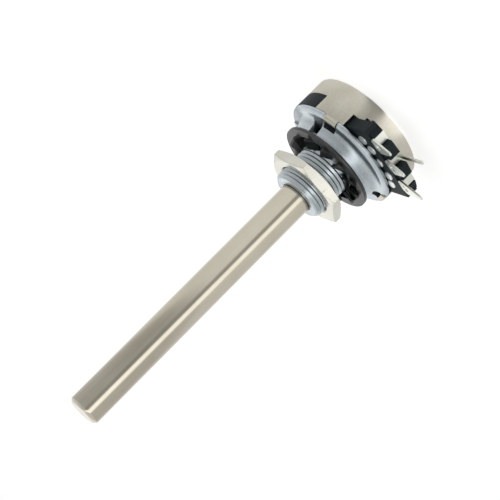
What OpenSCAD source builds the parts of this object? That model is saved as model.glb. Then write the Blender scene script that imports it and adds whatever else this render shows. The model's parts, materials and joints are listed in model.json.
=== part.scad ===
// Rotary potentiometer: die-cast bushing and front plate, plain round shaft,
// moulded terminal base, printed resistance wafer, wiper and a crimped steel cover.
// +Z runs along the shaft towards its tip. The origin is the centre of the mounting
// face, which is the front face of the drum round the bushing. The terminals point
// towards -Y. All lengths are in millimetres.

/* [Shaft] */
// Diameter of the shaft
shaft_d = 6; // [5.8:0.05:6.2]
// Length of the shaft from the mounting face to its tip
shaft_reach = 60; // [20:1:80]
// Chamfer at the tip of the shaft
tip_chamfer = 0.6; // [0.2:0.1:1]
// Width across the flats that drive the rotor
drive_flats = 3.8; // [3.4:0.1:4.2]
// Radial running clearance of the shaft in the bushing
shaft_clearance = 0.05; // [0.02:0.01:0.09]

/* [Bushing and front plate] */
// Outside diameter of the threaded bushing
bushing_d = 10; // [9.5:0.1:10.5]
// Length of the bushing in front of the mounting face
bushing_len = 8; // [7.5:0.1:12]
// Chamfer at the front of the bushing
bushing_chamfer = 0.55; // [0.3:0.05:0.8]
// Width of the rim round the foot of the drum
land_w = 2.5; // [2.3:0.1:2.8]
// Taper of the drum: how much its radius shrinks towards the mounting face
drum_taper = 0.25; // [0.1:0.05:0.5]
// Wall thickness of the drum
drum_wall = 1.2; // [1:0.1:1.4]
// Height of the drum above the rim
drum_h = 2.7; // [2.4:0.1:3.2]
// Thickness of the drum's front wall
drum_front_t = 1.2; // [0.9:0.1:1.3]
// Thickness of the rim under the drum
rim_t = 0.8; // [0.7:0.1:1.2]

/* [Rear cover] */
// Outside diameter of the cover
cover_d = 22.3; // [22:0.1:23]
// Sheet thickness of the cover
cover_t = 0.5; // [0.4:0.05:0.6]
// Bend radius at the closed end of the cover
cover_bend = 0.7; // [0.55:0.05:1]
// Width of a crimp tab
tab_w = 2.9; // [2.5:0.1:3.3]
// Height of the terminal window above the top of the terminals
window_gap = 0.8; // [0.6:0.05:1]

/* [Nut and washer] */
// Width of the nut across its flats
nut_af = 14; // [13:0.1:15]
// Thickness of the nut
nut_t = 2; // [1.6:0.1:2.4]
// Height of the nut's rear face above the mounting face
nut_z = 4.2; // [2:0.1:5]
// Turn of the nut about the shaft
nut_turn = 20.8; // [0:0.1:60]
// Outside diameter of the lock washer
washer_d = 18.2; // [17:0.1:19]
// Sheet thickness of the lock washer
washer_t = 0.6; // [0.5:0.05:0.8]
// Number of inner teeth on the lock washer
washer_teeth = 12; // [8:1:14]
// Twist of each inner tooth
tooth_twist = 24; // [15:1:30]

/* [Terminal base] */
// Thickness of the moulded floor under the wafer
floor_t = 1.75; // [1.5:0.05:2.2]
// Distance by which the terminal block stands out of the cover
block_proud = 2.15; // [1.8:0.05:2.6]
// Distance by which the barrier ribs stand out of the cover
rib_proud = 3.85; // [3.4:0.05:4.4]
// Distance between neighbouring terminals
terminal_pitch = 4.75; // [4.6:0.05:4.9]
// Width of the channel in which a terminal lies
channel_w = 2.1; // [2:0.05:2.4]
// Width of the outer barrier ribs
outer_rib_w = 1.9; // [1.5:0.1:2.2]
// Height of the barrier ribs above the wafer's rear face
rib_rise = 0.35; // [0.2:0.05:0.5]

/* [Terminals] */
// Sheet thickness of the terminals
terminal_t = 0.35; // [0.3:0.05:0.45]
// Width of the strip of a terminal
terminal_w = 1.8; // [1.5:0.05:1.9]
// Width of the solder lug at its shoulder
lug_w = 3.3; // [3:0.1:3.8]
// Length of the solder lug from its bend
lug_len = 5.8; // [4.5:0.1:7]
// Diameter of the hole in the solder lug
lug_hole_d = 1.4; // [1:0.1:1.8]
// Forward slope of the solder lugs
lug_slope = 10; // [0:1:20]

/* [Wafer and wiper] */
// Thickness of the laminate wafer
wafer_t = 0.8; // [0.6:0.05:1]
// Thickness of the printed films
film_t = 0.1; // [0.08:0.01:0.14]
// Width of the resistance track
track_w = 1.5; // [1.3:0.1:1.8]
// Width of the collector ring
ring_w = 1; // [0.8:0.1:1.2]
// Height of the wiper space between the films and the rotor
wiper_space = 1.25; // [1.1:0.05:1.6]
// Thickness of the rotor
rotor_t = 1.2; // [1:0.1:1.5]
// Full turning angle of the shaft between its stops
travel = 300; // [270:5:310]

/* [Hidden] */

$fn = 96;
// A small overlap that keeps cuts and joined bodies clean
eps = 0.05;
// Clearance between parts that are laid into each other
fit_gap = 0.1;

// Places along the axis, from the mounting face to the closed end of the cover
z_rim_front = -drum_h;
z_rim_rear = z_rim_front - rim_t;
z_wafer_front = z_rim_rear - floor_t;
z_wafer_rear = z_wafer_front - wafer_t;
z_film = z_wafer_rear - film_t;
z_terminal = z_film - terminal_t;
z_rotor_front = z_film - wiper_space;
z_rotor_rear = z_rotor_front - rotor_t;
stake_t = 0.4;
z_stake = z_rotor_rear - stake_t;
stake_head_t = 0.35;
z_shaft_end = z_stake - stake_head_t;
end_clearance = 0.6;
z_cover_in = z_shaft_end - end_clearance;
z_cover = z_cover_in - cover_t;

// Radii
shaft_r = shaft_d / 2;
relief_r = shaft_r - 0.2;
relief_top = bushing_len + 0.2;
relief_w = 0.6;
bore_r = shaft_r + shaft_clearance;
bushing_r = bushing_d / 2;
cover_r = cover_d / 2;
cover_in_r = cover_r - cover_t;
rim_r = cover_r - 0.05;
rim_edge_r = rim_r - 0.75;
rim_drop = 0.3;
base_r = cover_in_r - fit_gap;
drum_base_r = rim_r - land_w;
drum_top_r = drum_base_r - drum_taper;
cavity_r = drum_top_r - drum_wall;
block_reach = cover_r + block_proud;
rib_reach = cover_r + rib_proud;

// The clip, washers and groove behind the bushing
clip_t = 0.6;
clip_r = shaft_r + 1.4;
groove_r = shaft_r - 0.7;
thrust_t = 0.3;
wave_t = 0.25;
wave_h = 0.25;
clip_play = 0.02;
z_wave = -drum_front_t;
z_thrust = z_wave - wave_t - wave_h;
z_clip = z_thrust - thrust_t - clip_play;
washer_hole_gap = 0.15;

// The rotor's seat on the shaft
drive_r = shaft_r - 0.5;
hub_r = shaft_r + 1;
hub_front = z_rotor_front + 0.55;
stake_head_r = drive_flats / 2 + 0.3;

// The terminal side of the base and of the cover
inner_rib_in = channel_w / 2 + 0.1;
inner_rib_out = terminal_pitch - channel_w / 2;
outer_rib_in = terminal_pitch + channel_w / 2;
block_half = outer_rib_in + outer_rib_w;
block_front = z_rim_rear - 0.3;
rib_front = block_front - 0.35;
rib_rear = z_wafer_rear - rib_rise;
rib_root = block_reach - 1;
window_half = asin((block_half + fit_gap) / cover_in_r) + 0.2;
window_top = z_terminal - window_gap;
window_side_top = z_wafer_rear - 0.15;

// Crimp tabs: two beside the terminal window and one opposite, with the pockets in
// front of their ends
tab_half = tab_w / cover_r * 90 / PI;
tab_side = window_half + tab_half;
tab_angles = [-90 + tab_side + 5, -90 - tab_side - 1.5, 90];
tab_slack = 0.5;
pocket_in_r = drum_base_r - 0.3;
pocket_out_r = cover_in_r - 0.55;
tab_top = z_rim_front + 0.25;
tab_seat = tab_top - cover_t;
tab_root = 0.3;
// A step that keeps the faces of the tabs and of the cover's wall apart
skin = 0.02;

// The drum's slot and the flat on the rim
slot_half = 6.8;
slot_angle = tab_angles[0] + tab_half + tab_slack + 1.4 + slot_half;
rim_flat_angle = slot_angle + 56;
rim_flat_dist = rim_r - 1.5;
rim_flat_t = 0.4;

// The base's locating lug in the cover's side
lug_angle = slot_angle + 25;
lug_half = 20;
lug_top = z_rim_rear - 3;

// The wafer's outline: a disc and a tongue under the terminals
wafer_r = base_r - 0.7;
tongue_half = outer_rib_in + 0.5;
tongue_reach = rib_root - 0.1;

// End stop: half angles of the rotor's arm and of the base's stop block
arm_half = 11;
stop_spare = 1;
stop_half = 180 - travel / 2 - arm_half - stop_spare;
arm_r = base_r - 0.45;
stop_in_r = arm_r - 1;
rotor_r = stop_in_r - 0.25;

// Terminals: the riser lies on the block and the lug starts at its foot
riser_y = block_reach + 0.03;
lug_z = rib_front + terminal_t + fit_gap / 2;
right_lug_extra = 1.4;
rivet_r = 0.6;
rivet_hole_r = rivet_r + 0.03;
rivet_head_r = 0.95;
rivet_head_t = 0.25;
rivet_y = [rib_root - 1.85, rib_root - 1, rib_root - 1.3];
rivet_x = [terminal_pitch + 0.35, terminal_pitch - 1.75, 0];
pad_margin = 0.15;
pad_x0 = rivet_x[1] - rivet_head_r - pad_margin;
pad_x1 = rivet_x[0] + rivet_head_r + pad_margin;
pad_y0 = rivet_y[0] - rivet_head_r - pad_margin;
window_mid_half = asin((pad_x1 + 0.2) / cover_in_r);

// The films: radii, and the angles from -Y at which the end pads and the carbon begin
track_margin = 0.5;
track_r = wafer_r - track_margin - track_w / 2;
ring_r = hub_r + 0.75 + ring_w / 2;
pad_start = 24;
carbon_start = 42;

// The wiper: arms bent down from a ring on the rotor
wiper_t = 0.2;
contact_r = 0.55;
contact_gap = 0.03;
arm_reach = 2.4;
wiper_arm_w = 1;

// A block of an annulus between two radii, two heights and two angles
module sector(r0, r1, z0, z1, a0, a1) {
    rotate([0, 0, a0])
        rotate_extrude(angle = a1 - a0)
            translate([r0, z0])
                square([r1 - r0, z1 - z0]);
}

// A plain ring
module ring(r0, r1, z0, z1) {
    difference() {
        translate([0, 0, z0]) cylinder(r = r1, h = z1 - z0);
        translate([0, 0, z0 - eps]) cylinder(r = r0, h = z1 - z0 + 2 * eps);
    }
}

// Mirrors the children to the other side of the terminal axis as well
module both_sides() {
    children();
    mirror([1, 0, 0]) children();
}

// Zinc casting: threaded bushing, hollow drum and rim in one piece
module bushing_housing() {
    drum_round = 0.25;
    pocket_rise = 0.65;
    slot_foot = 0.3;
    color([0.68, 0.72, 0.76])
    difference() {
        rotate_extrude()
            polygon([
                [bore_r, bushing_len],
                [bushing_r - bushing_chamfer, bushing_len],
                [bushing_r, bushing_len - bushing_chamfer],
                [bushing_r, 0],
                [drum_top_r - drum_round, 0],
                [drum_top_r, -drum_round],
                [drum_base_r, z_rim_front + 1.2],
                [drum_base_r + 0.2, z_rim_front + 0.7],
                [drum_base_r + 0.6, z_rim_front + 0.3],
                [drum_base_r + 1.15, z_rim_front + 0.08],
                [rim_edge_r, z_rim_front],
                [rim_r, z_rim_front - rim_drop],
                [rim_r, z_rim_rear],
                [cavity_r, z_rim_rear],
                [cavity_r, -drum_front_t],
                [bore_r, -drum_front_t]]);
        for (a = tab_angles) {
            sector(cover_in_r - fit_gap / 2, rim_r + 1, z_rim_rear - eps, z_rim_front + eps,
                   a - tab_half - tab_slack, a + tab_half + tab_slack);
            sector(pocket_in_r, pocket_out_r, z_rim_rear - eps, z_rim_front + pocket_rise,
                   a - tab_half - tab_slack, a + tab_half + tab_slack);
            sector(pocket_out_r - eps, rim_r + 1, tab_seat, z_rim_front + pocket_rise,
                   a - tab_half - tab_slack, a + tab_half + tab_slack);
        }
        sector(cavity_r - eps, rim_r, z_rim_front + slot_foot, eps,
               slot_angle - slot_half, slot_angle + slot_half);
        rotate([0, 0, rim_flat_angle])
            translate([rim_flat_dist, -rim_r, z_rim_front - rim_flat_t])
                cube([rim_r, 2 * rim_r, rim_flat_t + 0.5]);
    }
}

// Hexagon nut on the bushing's thread, chamfered on both faces
module mounting_nut() {
    nut_r = nut_af / sqrt(3);
    nut_bore_r = bushing_r + fit_gap / 2;
    corner_drop = 0.45;
    color([0.82, 0.80, 0.74])
    translate([0, 0, nut_z])
    difference() {
        intersection() {
            rotate([0, 0, nut_turn]) cylinder(r = nut_r, h = nut_t, $fn = 6);
            rotate_extrude()
                polygon([[0, 0],
                         [nut_af / 2 - 0.1, 0],
                         [nut_r + 0.05, corner_drop],
                         [nut_r + 0.05, nut_t - corner_drop],
                         [nut_af / 2 - 0.1, nut_t],
                         [0, nut_t]]);
        }
        translate([0, 0, -eps]) cylinder(r = nut_bore_r, h = nut_t + 2 * eps);
        translate([0, 0, nut_t - 0.35])
            cylinder(r1 = nut_bore_r, r2 = nut_bore_r + 0.4, h = 0.4);
        translate([0, 0, -eps])
            cylinder(r1 = nut_bore_r + 0.4, r2 = nut_bore_r, h = 0.4);
    }
}

// Internal-tooth lock washer lying on the mounting face
module lock_washer() {
    tooth_root_r = washer_d / 2 - 1.7;
    tooth_tip_r = bushing_r + 0.2;
    tooth_w = 2 * PI * tooth_root_r / washer_teeth * 0.58;
    tooth_t = washer_t - 0.15;
    tooth_z = tooth_w / 2 * sin(tooth_twist) + tooth_t / 2 * cos(tooth_twist) + 0.02;
    color([0.16, 0.17, 0.17])
    union() {
        ring(tooth_root_r, washer_d / 2, 0, washer_t);
        for (i = [0 : washer_teeth - 1])
            rotate([0, 0, (i + 0.5) * 360 / washer_teeth])
                translate([(tooth_root_r + tooth_tip_r + 0.3) / 2, 0, tooth_z])
                    rotate([tooth_twist, 0, 0])
                        cube([tooth_root_r - tooth_tip_r + 0.3, tooth_w, tooth_t], center = true);
    }
}

// Turned shaft with a relief groove at the bushing's mouth, a clip groove, two drive
// flats and a staked end
module shaft() {
    color([0.80, 0.77, 0.71])
    union() {
        rotate_extrude()
            polygon([
                [0, shaft_reach],
                [shaft_r - tip_chamfer, shaft_reach],
                [shaft_r, shaft_reach - tip_chamfer],
                [shaft_r, relief_top],
                [relief_r, relief_top],
                [relief_r, relief_top - relief_w],
                [shaft_r, relief_top - relief_w],
                [shaft_r, z_clip],
                [groove_r, z_clip],
                [groove_r, z_clip - clip_t],
                [shaft_r, z_clip - clip_t],
                [shaft_r, hub_front],
                [0, hub_front]]);
        intersection() {
            translate([0, 0, z_stake]) cylinder(r = drive_r, h = hub_front - z_stake + eps);
            translate([-shaft_r, -drive_flats / 2, z_stake])
                cube([shaft_d, drive_flats, hub_front - z_stake + eps]);
        }
        translate([0, 0, z_shaft_end]) cylinder(r = stake_head_r, h = stake_head_t);
    }
}

// Three-wave spring washer that takes up the shaft's end play
module wave_washer() {
    steps = 72;
    r_in = shaft_r + washer_hole_gap;
    r_out = clip_r;
    function wave(i) = z_wave - wave_t - wave_h / 2 * (1 - cos(3 * 360 / steps * i));
    function at(r, i, z) = [r * cos(360 / steps * i), r * sin(360 / steps * i), z];
    points = [for (i = [0 : steps - 1])
                  each [at(r_in, i, wave(i)), at(r_out, i, wave(i)),
                        at(r_out, i, wave(i) + wave_t), at(r_in, i, wave(i) + wave_t)]];
    faces = [for (i = [0 : steps - 1], k = [0 : 3])
                 let (j = (i + 1) % steps, m = (k + 1) % 4)
                 each [[4 * i + k, 4 * i + m, 4 * j + m], [4 * i + k, 4 * j + m, 4 * j + k]]];
    color([0.78, 0.66, 0.42])
    polyhedron(points = points, faces = faces);
}

// Flat washer between the spring washer and the clip
module thrust_washer() {
    color([0.75, 0.76, 0.78])
    ring(shaft_r + washer_hole_gap, clip_r, z_thrust - thrust_t, z_thrust);
}

// Open retaining clip in the shaft's groove
module retaining_clip() {
    color([0.42, 0.43, 0.45])
    difference() {
        ring(groove_r, clip_r, z_clip - clip_t, z_clip);
        translate([-groove_r * 0.8, -clip_r - eps, z_clip - clip_t - eps])
            cube([groove_r * 1.6, clip_r, clip_t + 2 * eps]);
    }
}

// Half of the terminal block's barrier ribs, seen along the axis
module rib_outlines() {
    intersection() {
        circle(r = rib_reach);
        both_sides() {
            translate([inner_rib_in, -rib_reach])
                square([inner_rib_out - inner_rib_in, rib_reach - rib_root]);
            translate([outer_rib_in, -rib_reach])
                square([outer_rib_w, rib_reach - rib_root]);
        }
    }
}

// Outline of the wafer, with room to spare all round
module wafer_outline(spare) {
    circle(r = wafer_r + spare);
    translate([-tongue_half - spare, -tongue_reach - spare])
        square([2 * (tongue_half + spare), tongue_reach]);
}

// Moulded base: floor, wall, terminal block with barrier ribs, lug and end stop
module terminal_base() {
    shaft_hole_r = clip_r + 0.3;
    color([0.12, 0.14, 0.15])
    difference() {
        union() {
            translate([0, 0, z_wafer_rear])
                cylinder(r = base_r, h = z_rim_rear - z_wafer_rear);
            translate([-block_half, -block_reach, z_wafer_rear])
                cube([2 * block_half, block_reach - base_r / 2, block_front - z_wafer_rear]);
            translate([0, 0, rib_rear])
                linear_extrude(height = rib_front - rib_rear) rib_outlines();
            sector(wafer_r + fit_gap, cover_r, lug_top, z_rim_rear,
                   lug_angle - lug_half, lug_angle + lug_half);
            sector(wafer_r + fit_gap, base_r, z_rotor_rear, z_wafer_rear + eps,
                   90 - stop_half, 90 + stop_half);
            sector(stop_in_r, base_r, z_rotor_rear, z_rotor_front - fit_gap,
                   90 - stop_half, 90 + stop_half);
        }
        translate([0, 0, z_wafer_rear - eps])
            linear_extrude(height = wafer_t + eps) wafer_outline(fit_gap / 2);
        translate([0, 0, z_wafer_front - eps])
            cylinder(r = shaft_hole_r, h = floor_t + 2 * eps);
        rivet_places()
            translate([0, 0, z_wafer_front - eps])
                cylinder(r = rivet_hole_r, h = block_front - z_wafer_front + 2 * eps, $fn = 32);
        translate([-rivet_head_r - fit_gap, -base_r - 1, block_front])
            cube([2 * (rivet_head_r + fit_gap),
                  base_r + 1 - rivet_y[2] + rivet_head_r + fit_gap, 1]);
    }
}

// Puts the children at each rivet
module rivet_places() {
    for (i = [0, 1], side = [-1, 1])
        translate([side * rivet_x[i], -rivet_y[i], 0]) children();
    translate([rivet_x[2], -rivet_y[2], 0]) children();
}

// Laminate wafer that carries the printed films
module resistance_wafer() {
    color([0.45, 0.28, 0.14])
    difference() {
        translate([0, 0, z_wafer_rear])
            linear_extrude(height = wafer_t) wafer_outline(0);
        translate([0, 0, z_wafer_rear - eps])
            cylinder(r = shaft_r + 0.6, h = wafer_t + 2 * eps);
        rivet_places()
            translate([0, 0, z_wafer_rear - eps])
                cylinder(r = rivet_hole_r, h = wafer_t + 2 * eps, $fn = 32);
    }
}

// Carbon track, a horseshoe open towards the terminals
module carbon_track() {
    color([0.08, 0.08, 0.09])
    sector(track_r - track_w / 2, track_r + track_w / 2, z_film, z_wafer_rear,
           -90 + carbon_start, 270 - carbon_start);
}

// A film on the tongue between two places across it, without the rivets' holes
module tongue_film(x0, x1, y_in) {
    difference() {
        translate([x0, -rib_root + fit_gap, z_film])
            cube([x1 - x0, rib_root - fit_gap - y_in, film_t]);
        rivet_places()
            translate([0, 0, z_film - eps])
                cylinder(r = rivet_hole_r, h = film_t + 2 * eps, $fn = 32);
    }
}

// Conductor ring for the wiper's inner arm, with its lead to the middle terminal
module collector_ring() {
    color([0.80, 0.80, 0.78])
    union() {
        ring(ring_r - ring_w / 2, ring_r + ring_w / 2, z_film, z_wafer_rear);
        tongue_film(-terminal_w / 2, terminal_w / 2, ring_r);
    }
}

// Silver pads that join the ends of the track to the outer terminals
module track_end_pads() {
    color([0.82, 0.82, 0.80])
    both_sides()
        union() {
            sector(track_r - track_w / 2, track_r + track_w / 2, z_film, z_wafer_rear,
                   -90 + pad_start, -90 + carbon_start);
            tongue_film(pad_x0, tongue_half - fit_gap, track_r * cos(pad_start));
        }
}

// Solder lug of a terminal in its own plane, from its bend at y = 0 towards -Y
module lug_outline(length) {
    tip_r = 0.45;
    shoulder_y = 1.2;
    difference() {
        hull() {
            translate([-terminal_w / 2, -0.2]) square([terminal_w, 0.2]);
            translate([lug_w / 2 - 0.4, -shoulder_y]) circle(r = 0.4, $fn = 24);
            translate([-lug_w / 2 + 0.4, -shoulder_y]) circle(r = 0.4, $fn = 24);
            translate([0, -length + tip_r]) circle(r = tip_r, $fn = 24);
        }
        translate([0, -shoulder_y - 0.5]) circle(r = lug_hole_d / 2, $fn = 32);
    }
}

// Riser and lug of a terminal, which starts behind the block's outer wall
module riser_and_lug(length) {
    translate([-terminal_w / 2, -riser_y - terminal_t, z_terminal])
        cube([terminal_w, terminal_t, lug_z - z_terminal]);
    translate([0, -riser_y, lug_z])
        rotate([-lug_slope, 0, 0])
            translate([0, 0, -terminal_t])
                linear_extrude(height = terminal_t) lug_outline(length);
}

// An outer terminal, with its pad on two rivets
module outer_terminal(length) {
    difference() {
        union() {
            translate([terminal_pitch, 0, 0]) riser_and_lug(length);
            translate([terminal_pitch - terminal_w / 2, -riser_y, z_terminal])
                cube([terminal_w, riser_y - pad_y0, terminal_t]);
            translate([pad_x0, -rib_root + fit_gap, z_terminal])
                cube([pad_x1 - pad_x0, rib_root - fit_gap - pad_y0, terminal_t]);
        }
        for (i = [0, 1])
            translate([rivet_x[i], -rivet_y[i], z_terminal - eps])
                cylinder(r = rivet_hole_r, h = terminal_t + 2 * eps, $fn = 32);
    }
}

module terminal_left() {
    color([0.80, 0.80, 0.76]) outer_terminal(lug_len);
}

module terminal_right() {
    color([0.80, 0.80, 0.76]) mirror([1, 0, 0]) outer_terminal(lug_len + right_lug_extra);
}

// Middle terminal: a long strip to the collector ring, and a straight finger outside
module terminal_middle() {
    finger_w = 0.7;
    finger_len = 7;
    color([0.82, 0.80, 0.70])
    difference() {
        union() {
            riser_and_lug(lug_len);
            translate([-terminal_w / 2, -riser_y, z_terminal])
                cube([terminal_w, riser_y - ring_r + ring_w / 2, terminal_t]);
            translate([-rivet_head_r - pad_margin, -rib_root + fit_gap, z_terminal])
                cube([2 * (rivet_head_r + pad_margin), 2.4, terminal_t]);
            translate([-finger_w / 2, -riser_y - finger_len, z_terminal])
                cube([finger_w, finger_len, terminal_t]);
        }
        translate([rivet_x[2], -rivet_y[2], z_terminal - eps])
            cylinder(r = rivet_hole_r, h = terminal_t + 2 * eps, $fn = 32);
    }
}

// Rivets that clamp the terminals, the wafer and the base together
module terminal_rivets() {
    color([0.78, 0.79, 0.78])
    rivet_places()
        rotate_extrude($fn = 32)
            polygon([[0, z_terminal - rivet_head_t],
                     [rivet_head_r - 0.1, z_terminal - rivet_head_t],
                     [rivet_head_r, z_terminal - rivet_head_t + 0.1],
                     [rivet_head_r, z_terminal],
                     [rivet_r, z_terminal],
                     [rivet_r, block_front],
                     [rivet_head_r, block_front],
                     [rivet_head_r - 0.05, block_front + 0.15],
                     [rivet_head_r - 0.4, block_front + rivet_head_t],
                     [0, block_front + rivet_head_t]]);
}

// Moulded rotor with its hub, stop arm and lightening recesses
module rotor() {
    seat = 0.02;
    color([0.88, 0.86, 0.80])
    difference() {
        union() {
            translate([0, 0, z_rotor_rear]) cylinder(r = rotor_r, h = rotor_t);
            translate([0, 0, z_rotor_front - eps])
                cylinder(r = hub_r, h = hub_front - z_rotor_front + eps);
            sector(rotor_r - 1, arm_r, z_rotor_rear, z_rotor_front,
                   -90 - arm_half, -90 + arm_half);
        }
        intersection() {
            translate([0, 0, z_rotor_rear - eps])
                cylinder(r = drive_r + seat, h = hub_front - z_rotor_rear + 2 * eps);
            translate([-shaft_r, -drive_flats / 2 - seat, z_rotor_rear - eps])
                cube([shaft_d, drive_flats + 2 * seat, hub_front - z_rotor_rear + 2 * eps]);
        }
        for (a = [0, 180, 270])
            sector(hub_r + 0.8, rotor_r - 0.8, z_rotor_rear - eps, z_rotor_rear + 0.5,
                   a - 33, a + 33);
    }
}

// Side view of a spring arm, from its root on the ring down to its contact
module arm_profile() {
    drop = wiper_space - wiper_t - contact_r - contact_gap;
    polygon([[0, 0], [0.6, 0], [arm_reach, drop], [arm_reach + 0.7, drop],
             [arm_reach + 0.7, drop + wiper_t], [arm_reach - 0.05, drop + wiper_t],
             [0.55, wiper_t], [0, wiper_t]]);
}

// Puts the children at the two arms: one for the track, one for the ring
module wiper_arms() {
    for (r = [track_r, ring_r])
        translate([0, r, z_rotor_front]) children();
}

// Bronze spring: a ring on the rotor and two arms that trail towards the contacts
module wiper_spring() {
    plate_in_r = hub_r + 0.05;
    color([0.80, 0.58, 0.32])
    union() {
        ring(plate_in_r, plate_in_r + 0.55, z_rotor_front, z_rotor_front + wiper_t);
        translate([-arm_reach - wiper_arm_w, plate_in_r + 0.2, z_rotor_front])
            cube([wiper_arm_w + 0.4, track_r + wiper_arm_w / 2 - plate_in_r - 0.2, wiper_t]);
        translate([-arm_reach - wiper_arm_w, 0, z_rotor_front])
            difference() {
                cube([wiper_arm_w + 0.4, plate_in_r + 0.3, wiper_t]);
                translate([arm_reach + wiper_arm_w, 0, -eps])
                    cylinder(r = plate_in_r, h = 1);
            }
        wiper_arms()
            translate([-arm_reach - 0.35, wiper_arm_w / 2, 0])
                rotate([90, 0, 0])
                    linear_extrude(height = wiper_arm_w) arm_profile();
    }
}

// Contact buttons at the ends of the spring's arms
module wiper_contacts() {
    color([0.20, 0.19, 0.18])
    wiper_arms()
        translate([0, 0, wiper_space - contact_gap - contact_r])
            rotate_extrude($fn = 32)
                polygon([[0, 0], [0.4, 0], [0.4, contact_r * 0.5],
                         [0.25, contact_r * 0.85], [0, contact_r]]);
}

// Steel washer under the staked end of the shaft
module staking_washer() {
    color([0.74, 0.75, 0.76])
    difference() {
        translate([0, 0, z_stake]) cylinder(r = drive_r + 0.9, h = stake_t);
        intersection() {
            translate([0, 0, z_stake - eps]) cylinder(r = drive_r + 0.02, h = stake_t + 2 * eps);
            translate([-shaft_r, -drive_flats / 2 - 0.02, z_stake - eps])
                cube([shaft_d, drive_flats + 0.04, stake_t + 2 * eps]);
        }
    }
}

// Drawn steel cover with crimp tabs, a terminal window and a locating notch
module rear_cover() {
    bend_steps = 6;
    in_bend = cover_bend - cover_t;
    function arc_point(r, bend, z, i) =
        [r - bend + bend * sin(90 / bend_steps * i), z + bend - bend * cos(90 / bend_steps * i)];
    color([0.80, 0.77, 0.68])
    difference() {
        union() {
            rotate_extrude()
                polygon(concat(
                    [[0, z_cover]],
                    [for (i = [0 : bend_steps]) arc_point(cover_r, cover_bend, z_cover, i)],
                    [[cover_r, z_rim_rear], [cover_in_r, z_rim_rear]],
                    [for (i = [bend_steps : -1 : 0])
                         arc_point(cover_in_r, in_bend, z_cover_in, i)],
                    [[0, z_cover_in]]));
            for (a = tab_angles)
                crimp_tab(a);
        }
        sector(cover_in_r - 0.3, cover_r + 1, window_side_top, z_rim_rear + eps,
               -90 - window_half, -90 + window_half);
        sector(cover_in_r - 0.3, cover_r + 1, window_top, z_rim_rear + eps,
               -90 - window_mid_half, -90 + window_mid_half);
        sector(cover_in_r - 0.1, cover_r + 1, lug_top, z_rim_rear + eps,
               lug_angle - lug_half, lug_angle + lug_half);
    }
}

// A tab that runs through the rim's notch and folds flat onto the seat in the rim
module crimp_tab(a) {
    root_r = cover_r - skin;
    root_in_r = cover_in_r + skin;
    fold_in_r = pocket_out_r;
    bend_r = cover_t + 0.05;
    bend_steps = 5;
    rotate([0, 0, a - tab_half])
        rotate_extrude(angle = 2 * tab_half)
            polygon(concat(
                [[root_r, z_rim_rear - tab_root]],
                [for (i = [0 : bend_steps])
                     [root_r - bend_r + bend_r * cos(90 / bend_steps * i),
                      tab_top - bend_r + bend_r * sin(90 / bend_steps * i)]],
                [[fold_in_r + 0.1, tab_top],
                 [fold_in_r, tab_top - 0.1],
                 [fold_in_r, tab_seat],
                 [root_in_r, tab_seat],
                 [root_in_r, z_rim_rear - tab_root]]));
}

bushing_housing();
mounting_nut();
lock_washer();
shaft();
wave_washer();
thrust_washer();
retaining_clip();
terminal_base();
resistance_wafer();
carbon_track();
collector_ring();
track_end_pads();
terminal_left();
terminal_middle();
terminal_right();
terminal_rivets();
rotor();
wiper_spring();
wiper_contacts();
staking_washer();
rear_cover();
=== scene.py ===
"""Rotary potentiometer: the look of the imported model, with its camera, floor and lights."""
import json
import math

import bpy
from mathutils import Matrix, Vector


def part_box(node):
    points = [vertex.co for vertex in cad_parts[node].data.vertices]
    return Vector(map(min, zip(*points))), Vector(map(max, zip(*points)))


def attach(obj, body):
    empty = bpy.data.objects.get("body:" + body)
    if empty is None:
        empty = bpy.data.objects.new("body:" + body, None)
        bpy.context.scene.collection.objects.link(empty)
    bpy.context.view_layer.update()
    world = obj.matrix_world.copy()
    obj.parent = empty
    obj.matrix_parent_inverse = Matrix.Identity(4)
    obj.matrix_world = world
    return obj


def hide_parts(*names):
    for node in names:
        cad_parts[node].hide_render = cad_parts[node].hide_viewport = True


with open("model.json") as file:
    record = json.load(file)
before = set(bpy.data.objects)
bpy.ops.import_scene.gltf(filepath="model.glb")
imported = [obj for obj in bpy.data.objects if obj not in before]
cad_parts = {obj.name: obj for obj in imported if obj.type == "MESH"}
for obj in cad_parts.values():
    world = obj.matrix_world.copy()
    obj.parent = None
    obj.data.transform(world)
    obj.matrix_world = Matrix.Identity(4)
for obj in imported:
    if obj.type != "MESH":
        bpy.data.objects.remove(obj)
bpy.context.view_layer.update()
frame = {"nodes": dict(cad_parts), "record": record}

MM = 0.001
TAU = 2 * math.pi
WHITE = (1.0, 1.0, 1.0, 1.0)
NODES = frame["nodes"]
HOUSING, SHAFT = "housing", "shaft_assembly"

# Places on the axis, read from the frame
BUSHING_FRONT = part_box("bushing_housing")[1].z
FLOOR_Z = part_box("rear_cover")[0].z

# Thread on the bushing. The groove's mouth and flat root are given as half widths, and its
# cutter stands a little outside the bushing.
THREAD_R = 5.0 * MM
THREAD_PITCH = 0.75 * MM
THREAD_DEPTH = 0.35 * MM
THREAD_MOUTH = 0.44 * THREAD_PITCH
THREAD_ROOT = 0.03 * MM
THREAD_OUTSIDE = 0.03 * MM
THREAD_START = 0.3 * MM
THREAD_STEPS = 64

# The crisp edge between the drum's flare and the rim's chamfer: where it is, how near to it
# a vertex has to be, and how far it is raised
RIM_EDGE_R = 10.35 * MM
RIM_EDGE_Z = -2.7 * MM
RIM_EDGE_NEAR = 0.02 * MM
RIM_LIP = 0.12 * MM

# The notch under the rim's flat: its angle in degrees, its corners in millimetres
RIM_NOTCH_ANGLE = 44
RIM_NOTCH = ((8.65, -4.4, -3.3), (12.0, 3.2, 0.5))

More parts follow.
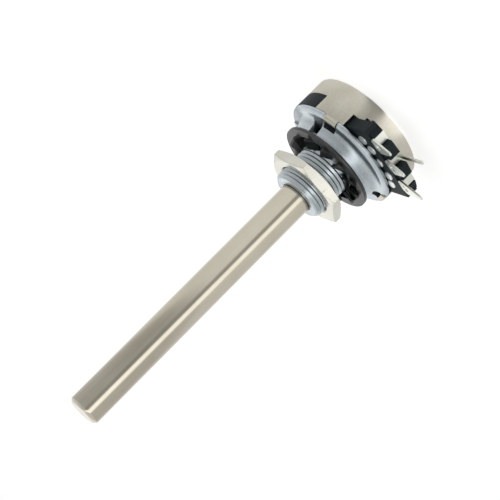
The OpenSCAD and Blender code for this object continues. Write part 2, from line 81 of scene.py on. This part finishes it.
# The shaft's outline from its tip to its staked end, as (radius, height) in millimetres,
# and the flat on its inner end, which is cut on both sides
SHAFT_OUTLINE = [(0.0, 60.0), (2.36, 60.0), (2.46, 59.96), (2.96, 59.46), (3.0, 59.36),
                 (3.0, 8.2), (2.8, 8.2), (2.8, 7.6), (3.0, 7.6), (3.0, -2.02), (2.3, -2.02),
                 (2.3, -2.62), (3.0, -2.62), (3.0, -6.85), (2.5, -6.85), (2.5, -9.0),
                 (2.2, -9.0), (2.2, -9.35), (0.0, -9.35)]
SHAFT_STEPS = 160
SHAFT_FLAT = ((-4.0, 1.9, -9.0), (4.0, 4.0, -6.85))

# Eased edges: their width on the pieces made here, and on the CAD nodes in millimetres
PIECE_EDGE = 0.06 * MM
NODE_EDGES = {"mounting_nut": 0.08, "lock_washer": 0.05, "terminal_left": 0.05,
              "terminal_middle": 0.05, "terminal_right": 0.05, "rear_cover": 0.03}
EDGE_STEPS = 2
WELD_REACH = 0.0005 * MM

# Angles in degrees: an edge above the first is eased and sharp, faces below the second are
# joined as one, and the base's facets are shaded flat above the third
EDGE_ANGLE = 32.0
JOIN_ANGLE = 0.5
FACET_ANGLE = 2.5

# Materials: the roughness of their noise, the share of the fine grain in a metal's colour,
# the places of the dark and the light colour on the noise, and the height of the bumps
NOISE_ROUGH = 0.55
GRAIN_SHARE = 0.35
COLOUR_PLACES = (0.3, 0.7)
BUMP_HEIGHT = 0.02 * MM

# The lock washer: the radius at which its teeth meet its ring, how far the change of colour
# reaches inwards and outwards from there, and the near-black painted shade on its teeth, for
# the dark gap round the bushing
WASHER_TEETH_R = 7.4 * MM
WASHER_FADE_IN, WASHER_FADE_OUT = 0.25 * MM, 0.1 * MM
WASHER_TEETH_SHADE = (0.012, 0.014, 0.014, 1.0)

# Camera: where the photograph was taken from
CAMERA_AIM = Vector((0.052, -1.483, 20.729)) * MM
CAMERA_DISTANCE = 270.3 * MM
CAMERA_AZIMUTH = math.radians(31.8)
CAMERA_ELEVATION = math.radians(13.73)
CAMERA_ROLL = math.radians(-135.17)
CAMERA_LENS = 114.8
CAMERA_SENSOR = 36.0
CAMERA_CLIP = (10 * MM, 20.0)

# Light: the sky's level for matt surfaces, and the floor
SKY = 0.45
FLOOR_HALF = 3.0
FLOOR_COLOUR = (0.82, 0.82, 0.82, 1.0)
FLOOR_ROUGH = 0.9
FLOOR_GLOW = 0.61

# The tent that shiny surfaces reflect: its brightest level, the levels of its foot and top
# with their heights on the sky's unit sphere, and its floor and walls as (angle about the
# shaft in degrees, brightness)
TENT_MAX = 2.0
TENT_FOOT, TENT_TOP = 0.8, 1.08
TENT_FOOT_Z, TENT_TOP_Z = 0.05, 0.75
TENT_FLOOR = [(-180, 0.82), (-104, 0.9), (-96, 1.6), (-78, 1.6), (-71, 0.46),
              (-56, 0.48), (-47, 1.02), (20, 0.98), (60, 0.92), (120, 1.25), (180, 0.82)]
TENT_WALL = [(-180, 0.82), (-104, 0.8), (-96, 2.0), (-78, 2.0), (-71, 0.46),
             (-56, 0.44), (-47, 0.62), (0, 0.62), (60, 0.8), (115, 1.35), (140, 1.35),
             (180, 0.82)]
# The tent's floor is turned by 13 degrees at 11 mm from the axis, and less further out
FLOOR_TWIST = math.radians(13) * 11 * MM

# Lamps: place, aim and size in millimetres, and power in watts
LAMPS = {
    "key": ((-160, -260, 260), (0, 0, 20), (220, 220), 0.12),
    "fill": ((320, -160, 60), (0, 0, 15), (260, 260), 0.08),
    "rim": ((60, 260, 200), (0, 0, 20), (200, 200), 0.08),
}

# Looks by material slot: the dark and the light colour, the range of roughness, the blotches
# and the fine grain in features per metre, and the strength of the bumps
METALS = {
    "zinc_casting": dict(dark=(0.385, 0.435, 0.465), light=(0.62, 0.67, 0.695),
                         rough=(0.26, 0.42), grain=2200, bump=0.28),
    "nut_nickel": dict(dark=(0.56, 0.55, 0.48), light=(0.72, 0.705, 0.635),
                       rough=(0.24, 0.32), grain=1200, bump=0.015),
    "black_oxide": dict(dark=(0.036, 0.041, 0.042), light=(0.095, 0.094, 0.092),
                        rough=(0.32, 0.46), grain=2600, metallic=0.75, blotch=300),
    "shaft_nickel": dict(dark=(0.53, 0.49, 0.39), light=(0.61, 0.57, 0.48),
                         rough=(0.12, 0.2), grain=1500, stretch=(1, 1, 0.06)),
    "bronze": dict(dark=(0.60, 0.40, 0.18), light=(0.76, 0.55, 0.28)),
    "bright_steel": dict(dark=(0.58, 0.59, 0.60), light=(0.70, 0.71, 0.72)),
    "spring_steel": dict(dark=(0.20, 0.21, 0.23), light=(0.32, 0.33, 0.35)),
    "silver_film": dict(dark=(0.66, 0.66, 0.62), light=(0.80, 0.80, 0.76),
                        rough=(0.4, 0.55)),
    "terminal_plate": dict(dark=(0.60, 0.62, 0.55), light=(0.82, 0.83, 0.76),
                           rough=(0.25, 0.4), grain=2400, bump=0.1),
    "rivet_tin": dict(dark=(0.55, 0.58, 0.58), light=(0.76, 0.78, 0.78),
                      rough=(0.3, 0.45), grain=2000),
    "cover_nickel": dict(dark=(0.51, 0.485, 0.40), light=(0.67, 0.645, 0.57),
                         rough=(0.36, 0.5), grain=2600, bump=0.16),
}
DIELECTRICS = {
    "black_phenolic": dict(dark=(0.005, 0.010, 0.012), light=(0.012, 0.020, 0.023),
                           rough=(0.5, 0.62), specular=0.2),
    "brown_laminate": dict(dark=(0.15, 0.07, 0.03), light=(0.26, 0.13, 0.06)),
    "carbon_film": dict(dark=(0.014, 0.014, 0.015), light=(0.028, 0.028, 0.03),
                        rough=(0.5, 0.7)),
    "rotor_plastic": dict(dark=(0.66, 0.62, 0.52), light=(0.78, 0.75, 0.66)),
    "carbon_contact": dict(dark=(0.02, 0.019, 0.018), light=(0.05, 0.047, 0.044)),
}


# ---------------------------------------------------------------- new data

def add_object(name, data):
    """A new object in the scene, made from a mesh, a lamp or a camera."""
    new = bpy.data.objects.new(name, data)
    bpy.context.scene.collection.objects.link(new)
    return new


def add_mesh(name, points, faces):
    """A new object in the scene, made from points in metres and faces."""
    mesh = bpy.data.meshes.new(name)
    mesh.from_pydata(points, [], faces)
    return add_object(name, mesh)


# ---------------------------------------------------------------- materials

def new_material(name):
    """A node material with one Principled shader, as (material, nodes, links, shader)."""
    mat = bpy.data.materials.new(name)
    mat.use_nodes = True
    nodes, links = mat.node_tree.nodes, mat.node_tree.links
    nodes.clear()
    out = nodes.new("ShaderNodeOutputMaterial")
    shader = nodes.new("ShaderNodeBsdfPrincipled")
    links.new(shader.outputs["BSDF"], out.inputs["Surface"])
    return mat, nodes, links, shader


def first_of(nodes, kind):
    """The first node of a kind."""
    return next(node for node in nodes if node.type == kind)


def noise(nodes, links, coords, scale, detail, stretch=(1, 1, 1)):
    """A noise texture in object space, in features per metre."""
    mapping = nodes.new("ShaderNodeMapping")
    mapping.inputs["Scale"].default_value = stretch
    links.new(coords, mapping.inputs["Vector"])
    tex = nodes.new("ShaderNodeTexNoise")
    tex.inputs["Scale"].default_value = scale
    tex.inputs["Detail"].default_value = detail
    tex.inputs["Roughness"].default_value = NOISE_ROUGH
    links.new(mapping.outputs["Vector"], tex.inputs["Vector"])
    return tex.outputs["Fac"]


def ramp(nodes, links, fac, stops):
    """A colour ramp through (place, colour) stops."""
    node = nodes.new("ShaderNodeValToRGB")
    elements = node.color_ramp.elements
    while len(elements) < len(stops):
        elements.new(0.5)
    for element, (place, colour) in zip(elements, stops):
        element.position = place
        element.color = (*colour, 1.0)
    links.new(fac, node.inputs["Fac"])
    return node.outputs["Color"]


def value_range(nodes, links, value, start, end, low=0.0, high=1.0, smooth=False):
    """Maps a value that runs from low to high onto start to end."""
    node = nodes.new("ShaderNodeMapRange")
    node.interpolation_type = "SMOOTHSTEP" if smooth else "LINEAR"
    node.inputs["From Min"].default_value = low
    node.inputs["From Max"].default_value = high
    node.inputs["To Min"].default_value = start
    node.inputs["To Max"].default_value = end
    links.new(value, node.inputs["Value"])
    return node.outputs["Result"]


def maths(nodes, links, operation, *values):
    """One operation on values that are each a socket or a number."""
    node = nodes.new("ShaderNodeMath")
    node.operation = operation
    for socket, value in zip(node.inputs, values):
        if isinstance(value, (int, float)):
            socket.default_value = value
        else:
            links.new(value, socket)
    return node.outputs[0]


def radius_of(nodes, links, vector):
    """The distance of a vector from the shaft's axis, with its three parts."""
    parts = nodes.new("ShaderNodeSeparateXYZ")
    links.new(vector, parts.inputs[0])
    x, y, z = (parts.outputs[name] for name in "XYZ")
    square = maths(nodes, links, "ADD", maths(nodes, links, "MULTIPLY", x, x),
                   maths(nodes, links, "MULTIPLY", y, y))
    return maths(nodes, links, "POWER", square, 0.5), x, y, z


def dress(nodes, links, shader, tint, fine, dark, light, rough, bump):
    """Colours a shader from dark to light by one noise, and gives it roughness and
    bumps by a finer one."""
    stops = zip(COLOUR_PLACES, (dark, light))
    links.new(ramp(nodes, links, tint, list(stops)), shader.inputs["Base Color"])
    links.new(value_range(nodes, links, fine, *rough), shader.inputs["Roughness"])
    tilt = nodes.new("ShaderNodeBump")
    tilt.inputs["Strength"].default_value = bump
    tilt.inputs["Distance"].default_value = BUMP_HEIGHT
    links.new(fine, tilt.inputs["Height"])
    links.new(tilt.outputs["Normal"], shader.inputs["Normal"])


def metal(name, dark, light, rough=(0.3, 0.45), grain=2500, stretch=(1, 1, 1),
          bump=0.05, metallic=1.0, blotch=160):
    """A plated metal: slow blotches of colour, a finer grain in roughness and bump."""
    mat, nodes, links, shader = new_material(name)
    coords = nodes.new("ShaderNodeTexCoord").outputs["Object"]
    slow = noise(nodes, links, coords, blotch, detail=4.0)
    fine = noise(nodes, links, coords, grain, detail=5.0, stretch=stretch)
    tint = maths(nodes, links, "MULTIPLY_ADD", fine, GRAIN_SHARE,
                 maths(nodes, links, "MULTIPLY", slow, 1 - GRAIN_SHARE))
    dress(nodes, links, shader, tint, fine, dark, light, rough, bump)
    shader.inputs["Metallic"].default_value = metallic
    return mat


def moulded(name, dark, light, rough=(0.45, 0.6), grain=1800, bump=0.15, specular=0.5,
            blotch=350):
    """A moulded or pressed dielectric with a faint mottle."""
    mat, nodes, links, shader = new_material(name)
    coords = nodes.new("ShaderNodeTexCoord").outputs["Object"]
    slow = noise(nodes, links, coords, blotch, detail=4.0)
    fine = noise(nodes, links, coords, grain, detail=4.0)
    dress(nodes, links, shader, slow, fine, dark, light, rough, bump)
    shader.inputs["Specular IOR Level"].default_value = specular
    return mat


def shade_washer_teeth(mat):
    """Paints painted shade on the washer's teeth, near black for the dark gap round the
    bushing, and leaves its ring in the oxide's own colour.
    """
    nodes, links = mat.node_tree.nodes, mat.node_tree.links
    colour = first_of(nodes, "BSDF_PRINCIPLED").inputs["Base Color"]
    # The oxide's own colour, kept on the ring
    ring_colour = colour.links[0].from_socket
    coords = nodes.new("ShaderNodeTexCoord").outputs["Object"]
    radius = radius_of(nodes, links, coords)[0]
    on_ring = value_range(nodes, links, radius, 0.0, 1.0, smooth=True,
                          low=WASHER_TEETH_R - WASHER_FADE_IN,
                          high=WASHER_TEETH_R + WASHER_FADE_OUT)
    mix = nodes.new("ShaderNodeMix")
    mix.data_type = "RGBA"
    links.new(on_ring, mix.inputs["Factor"])
    mix.inputs["A"].default_value = WASHER_TEETH_SHADE
    links.new(ring_colour, mix.inputs["B"])
    links.new(mix.outputs["Result"], colour)


MATERIALS = {name: metal(name, **look) for name, look in METALS.items()}
MATERIALS.update({name: moulded(name, **look) for name, look in DIELECTRICS.items()})
# The washer's teeth get near-black painted shade
shade_washer_teeth(MATERIALS["black_oxide"])

for row in frame["record"]["subparts"]:
    node = NODES[row["node"]]
    node.data.materials.clear()
    node.data.materials.append(MATERIALS[row["material_slot"]])


# ---------------------------------------------------------------- shapes

def soften(node, width, clamp=False, join=False, harden=True):
    """Welds a node's mesh, joins its coplanar faces if asked, and rounds its sharp edges
    a little."""
    weld = node.modifiers.new("weld", "WELD")
    weld.merge_threshold = WELD_REACH
    if join:
        flat = node.modifiers.new("join", "DECIMATE")
        flat.decimate_type = "DISSOLVE"
        flat.angle_limit = math.radians(JOIN_ANGLE)
    bevel = node.modifiers.new("bevel", "BEVEL")
    bevel.width = width
    bevel.segments = EDGE_STEPS
    bevel.limit_method = "ANGLE"
    bevel.angle_limit = math.radians(EDGE_ANGLE)
    bevel.use_clamp_overlap = clamp
    bevel.harden_normals = harden


def thread_cutter():
    """A V-shaped rod wound along the bushing, from its foot to past its front."""
    turns = (BUSHING_FRONT + THREAD_PITCH - THREAD_START) / THREAD_PITCH
    count = int(turns * THREAD_STEPS)
    mouth, root = THREAD_R + THREAD_OUTSIDE, THREAD_R - THREAD_DEPTH
    profile = [(mouth, -THREAD_MOUTH), (root, -THREAD_ROOT), (root, THREAD_ROOT),
               (mouth, THREAD_MOUTH)]
    points, faces = [], [(3, 2, 1, 0)]
    for i in range(count + 1):
        turn = TAU * i / THREAD_STEPS
        z = THREAD_START + THREAD_PITCH * i / THREAD_STEPS
        points += [(r * math.cos(turn), r * math.sin(turn), z + dz) for r, dz in profile]
    for i in range(count):
        for k in range(4):
            a, b = 4 * i + k, 4 * i + (k + 1) % 4
            faces.append((a, b, b + 4, a + 4))
    last = 4 * count
    faces.append((last, last + 1, last + 2, last + 3))
    return add_mesh("thread_cutter", points, faces)


def box_cutter(angle, corners):
    """A box between two corners in millimetres, turned about the axis by degrees."""
    low, high = corners
    points = [Vector((x, y, z)) * MM for z in (low[2], high[2]) for y in (low[1], high[1])
              for x in (low[0], high[0])]
    faces = [(0, 2, 3, 1), (4, 5, 7, 6), (0, 1, 5, 4), (2, 6, 7, 3), (0, 4, 6, 2),
             (1, 3, 7, 5)]
    cutter = add_mesh("box_cutter", points, faces)
    cutter.data.transform(Matrix.Rotation(math.radians(angle), 4, "Z"))
    return cutter


def settle(piece, tools, angle=EDGE_ANGLE):
    """Cuts the tools out of a piece, takes the result as its mesh, and smooths it where
    its faces meet at less than an angle."""
    for tool in tools:
        cut = piece.modifiers.new(tool.name, "BOOLEAN")
        cut.operation = "DIFFERENCE"
        cut.solver = "EXACT"
        cut.object = tool
    bpy.context.view_layer.update()
    ready = piece.evaluated_get(bpy.context.evaluated_depsgraph_get())
    mesh = bpy.data.meshes.new_from_object(ready)
    piece.modifiers.clear()
    piece.data = mesh
    for tool in tools:
        bpy.data.objects.remove(tool)
    for face in mesh.polygons:
        face.use_smooth = True
    mesh.set_sharp_from_angle(angle=math.radians(angle))


def turned_shaft():
    """The shaft turned from its outline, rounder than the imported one."""
    points, faces, rows = [], [], []
    for radius, height in SHAFT_OUTLINE:
        count = SHAFT_STEPS if radius else 1
        rows.append([len(points) + i for i in range(count)])
        points += [Vector((radius * math.cos(TAU * i / count),
                           radius * math.sin(TAU * i / count), height)) * MM
                   for i in range(count)]
    for upper, lower in zip(rows, rows[1:]):
        for i in range(SHAFT_STEPS):
            j = (i + 1) % SHAFT_STEPS
            if len(upper) == 1:
                faces.append((upper[0], lower[i], lower[j]))
            elif len(lower) == 1:
                faces.append((upper[i], lower[0], upper[j]))
            else:
                faces.append((upper[i], lower[i], lower[j], upper[j]))
    piece = add_mesh("turned_shaft", points, faces)
    piece.data.materials.append(MATERIALS["shaft_nickel"])
    settle(piece, [box_cutter(turn, SHAFT_FLAT) for turn in (0, 180)])
    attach(piece, SHAFT)
    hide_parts("shaft")


def copy_of(node, name):
    """A copy of a CAD node's mesh as a piece of its own, in the same place."""
    piece = add_object(name, node.data.copy())
    piece.matrix_world = node.matrix_world.copy()
    return piece


def moulded_base():
    """The black base with its edges eased and each of its facets shaded flat."""
    piece = copy_of(NODES["terminal_base"], "moulded_base")
    soften(piece, PIECE_EDGE, harden=False)
    settle(piece, (), FACET_ANGLE)
    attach(piece, HOUSING)
    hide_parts("terminal_base")


def threaded_housing():
    """The housing with a lip raised on its rim, its edges eased, a fine thread cut into
    the bushing, and the flat on the rim let into the drum's flare."""
    piece = copy_of(NODES["bushing_housing"], "threaded_housing")
    for vertex in piece.data.vertices:
        place = piece.matrix_world @ vertex.co
        if (abs(math.hypot(place.x, place.y) - RIM_EDGE_R) < RIM_EDGE_NEAR
                and abs(place.z - RIM_EDGE_Z) < RIM_EDGE_NEAR):
            vertex.co.z += RIM_LIP
    soften(piece, PIECE_EDGE, join=True)
    settle(piece, (thread_cutter(), box_cutter(RIM_NOTCH_ANGLE, RIM_NOTCH)))
    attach(piece, HOUSING)
    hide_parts("bushing_housing")


threaded_housing()
turned_shaft()
moulded_base()
for name, width in NODE_EDGES.items():
    # Only the washer is clamped: its narrow teeth would grow spikes
    soften(NODES[name], width * MM, clamp=name == "lock_washer")


# ---------------------------------------------------------------- stage

def tent(nodes, links, vector, tent_stops, on_floor):
    """Brightness of the light tent round the part: even walls, one strip light, and
    the dark gap beside it through which the camera looks. Off the floor it brightens with
    height."""
    radius, x, y, z = radius_of(nodes, links, vector)
    angle = maths(nodes, links, "ARCTAN2", y, x)
    if on_floor:
        turned = maths(nodes, links, "DIVIDE", FLOOR_TWIST, radius)
        angle = maths(nodes, links, "SUBTRACT", angle, turned)
    place = maths(nodes, links, "DIVIDE", maths(nodes, links, "ADD", angle, math.pi), TAU)
    stops = [((degrees + 180) / 360, (level / TENT_MAX,) * 3)
             for degrees, level in tent_stops]
    level = maths(nodes, links, "MULTIPLY", ramp(nodes, links, place, stops), TENT_MAX)
    if on_floor:
        return level
    height = value_range(nodes, links, z, TENT_FOOT, TENT_TOP,
                         low=TENT_FOOT_Z, high=TENT_TOP_Z)
    return maths(nodes, links, "MULTIPLY", level, height)


def mix_shaders(nodes, links, fac, first, second, out):
    """Sends one shader or another to an output, by a factor of 0 or 1."""
    mix = nodes.new("ShaderNodeMixShader")
    links.new(fac, mix.inputs["Fac"])
    links.new(first, mix.inputs[1])
    links.new(second, mix.inputs[2])
    links.new(mix.outputs["Shader"], out.inputs["Surface"])


def floor_material():
    """Pale and lit, white to the camera, and a wall of the tent to shiny surfaces."""
    mat, nodes, links, shader = new_material("floor_white")
    path = nodes.new("ShaderNodeLightPath")
    coords = nodes.new("ShaderNodeTexCoord").outputs["Object"]
    glow = nodes.new("ShaderNodeEmission")
    links.new(tent(nodes, links, coords, TENT_FLOOR, True), glow.inputs["Strength"])
    seen = maths(nodes, links, "MULTIPLY", path.outputs["Is Camera Ray"], FLOOR_GLOW)
    shader.inputs["Base Color"].default_value = FLOOR_COLOUR
    shader.inputs["Roughness"].default_value = FLOOR_ROUGH
    shader.inputs["Emission Color"].default_value = WHITE
    links.new(seen, shader.inputs["Emission Strength"])
    mix_shaders(nodes, links, path.outputs["Is Glossy Ray"], shader.outputs["BSDF"],
                glow.outputs["Emission"], first_of(nodes, "OUTPUT_MATERIAL"))
    return mat


def make_floor():
    """A pale floor under the closed end of the cover."""
    corners = [(-FLOOR_HALF, -FLOOR_HALF, FLOOR_Z), (FLOOR_HALF, -FLOOR_HALF, FLOOR_Z),
               (FLOOR_HALF, FLOOR_HALF, FLOOR_Z), (-FLOOR_HALF, FLOOR_HALF, FLOOR_Z)]
    floor = add_mesh("floor", corners, [(0, 1, 2, 3)])
    floor.data.materials.append(floor_material())


def make_world():
    """White for the camera, an even sky for matt surfaces, the tent for shiny ones."""
    world = bpy.data.worlds.new("studio")
    bpy.context.scene.world = world
    world.use_nodes = True
    nodes, links = world.node_tree.nodes, world.node_tree.links
    nodes.clear()
    out = nodes.new("ShaderNodeOutputWorld")
    back = nodes.new("ShaderNodeBackground")
    shiny = nodes.new("ShaderNodeBackground")
    for node in (back, shiny):
        node.inputs["Color"].default_value = WHITE
    path = nodes.new("ShaderNodeLightPath")
    level = value_range(nodes, links, path.outputs["Is Camera Ray"], SKY, 1.0)
    links.new(level, back.inputs["Strength"])
    direction = nodes.new("ShaderNodeTexCoord").outputs["Generated"]
    links.new(tent(nodes, links, direction, TENT_WALL, False), shiny.inputs["Strength"])
    mix_shaders(nodes, links, path.outputs["Is Glossy Ray"], back.outputs["Background"],
                shiny.outputs["Background"], out)


def area_light(name, place, aim, size, power):
    """A soft box of a width and height at place that looks at aim, in millimetres."""
    data = bpy.data.lights.new(name, "AREA")
    data.shape = "RECTANGLE"
    data.size, data.size_y = size[0] * MM, size[1] * MM
    data.energy = power
    lamp = add_object(name, data)
    lamp.location = Vector(place) * MM
    lamp.visible_glossy = False
    look = (Vector(aim) - Vector(place)).normalized()
    lamp.rotation_mode = "QUATERNION"
    lamp.rotation_quaternion = look.to_track_quat("-Z", "Y")


def make_camera():
    """The camera of the photograph."""
    data = bpy.data.cameras.new("camera")
    data.sensor_width = CAMERA_SENSOR
    data.lens = CAMERA_LENS
    data.clip_start, data.clip_end = CAMERA_CLIP
    cam = add_object("camera", data)
    back = Vector((math.sin(CAMERA_AZIMUTH) * math.cos(CAMERA_ELEVATION),
                   -math.cos(CAMERA_AZIMUTH) * math.cos(CAMERA_ELEVATION),
                   math.sin(CAMERA_ELEVATION)))
    cam.location = CAMERA_AIM + back * CAMERA_DISTANCE
    level = (-back).to_track_quat("-Z", "Y").to_matrix()
    roll = Matrix.Rotation(CAMERA_ROLL, 3, "Z")
    cam.rotation_mode = "QUATERNION"
    cam.rotation_quaternion = (level @ roll).to_quaternion()
    bpy.context.scene.camera = cam


make_floor()
make_world()
for name, lamp in LAMPS.items():
    area_light(name, *lamp)
make_camera()

bpy.context.scene.view_settings.view_transform = "Standard"
